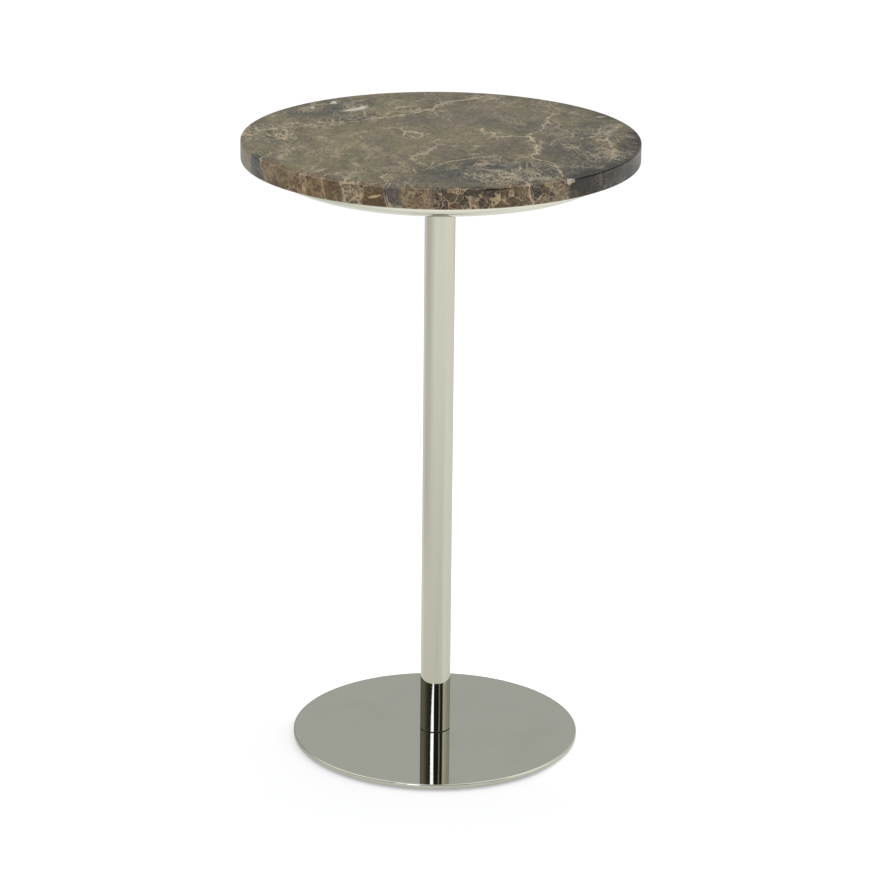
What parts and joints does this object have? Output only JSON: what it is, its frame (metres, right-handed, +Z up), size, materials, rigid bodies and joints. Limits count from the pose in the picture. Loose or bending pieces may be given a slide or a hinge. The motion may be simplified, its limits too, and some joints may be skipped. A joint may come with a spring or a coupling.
{
  "type": "pedestal side table",
  "caption": "Round pedestal side table: veined brown stone disc on a shallow polished dish, one straight polished tube column and a thin round foot plate.",
  "frame": {"origin": "on the floor at the centre of the foot plate", "axes": "+Z up along the column; -Y towards the picture's viewer; +X to the viewer's right"},
  "size_m": [0.4059, 0.406, 0.6542],
  "materials": {
    "brown_marble": "polished, dark brown with pale veins and breccia",
    "polished_nickel": "mirror-polished nickel plate on steel",
    "screw_nickel": "nickel-plated steel screws and washers",
    "zinc_steel": "zinc-plated steel",
    "plywood": "raw birch plywood",
    "insert_brass": "turned brass",
    "elastic_adhesive": "cured elastic adhesive",
    "gasket_fibre": "black fibre gasket",
    "felt": "pressed wool felt"
  },
  "bodies": {
    "root": {"marble_top": "brown_marble", "adhesive_dabs": "elastic_adhesive", "core_disc": "plywood", "core_inserts": "insert_brass", "under_dish": "polished_nickel", "mounting_plate": "zinc_steel", "column_bolt": "zinc_steel", "bolt_washer": "zinc_steel", "fixing_screws": "screw_nickel", "fixing_washers": "screw_nickel", "column_tube": "polished_nickel", "upper_plug": "zinc_steel", "lower_plug": "zinc_steel", "column_gasket": "gasket_fibre", "base_plate": "polished_nickel", "base_screw": "screw_nickel", "felt_pad_1": "felt", "felt_pad_2": "felt", "felt_pad_3": "felt", "felt_pad_4": "felt", "felt_pad_5": "felt", "felt_pad_6": "felt"}
  },
  "joints": []
}
